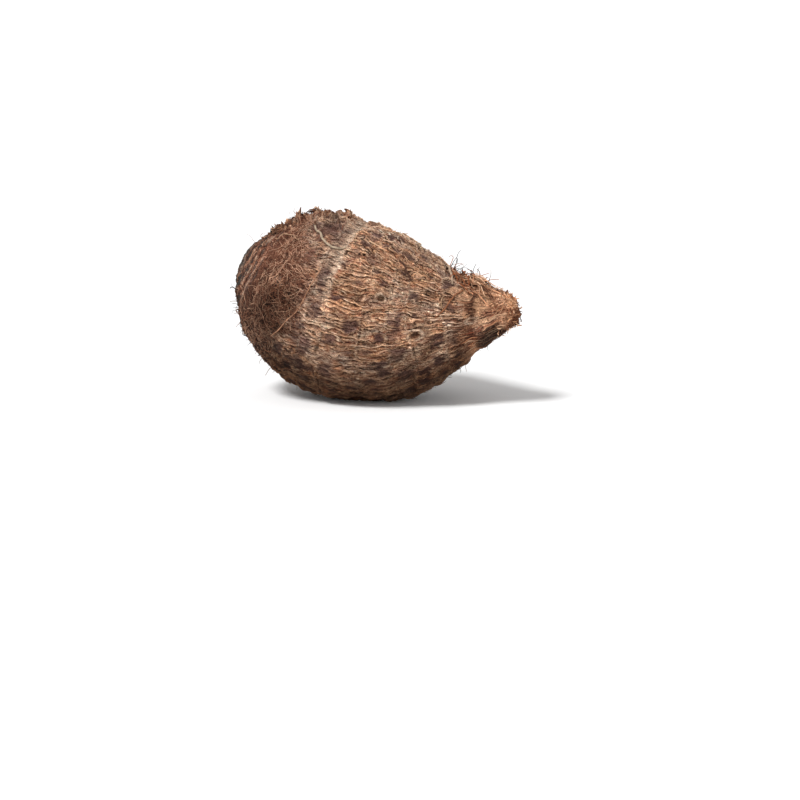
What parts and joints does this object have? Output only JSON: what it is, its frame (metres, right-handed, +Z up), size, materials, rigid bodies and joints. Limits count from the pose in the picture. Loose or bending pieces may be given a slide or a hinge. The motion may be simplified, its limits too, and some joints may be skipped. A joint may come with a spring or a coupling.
{
  "type": "taro root",
  "caption": "Whole raw taro corm lying on its side, with leaf scar rings, furrowed brown bark, a blunt crown and a broken neck.",
  "frame": {"origin": "on the surface that the corm rests on, below the middle of its bounding box", "axes": "+X along the corm from its blunt crown to its broken neck, +Z up"},
  "size_m": [0.1179, 0.071, 0.0728],
  "materials": {
    "corm": "dry, matt, fibrous brown bark"
  },
  "bodies": {
    "root": {"corm": "corm"}
  },
  "joints": []
}
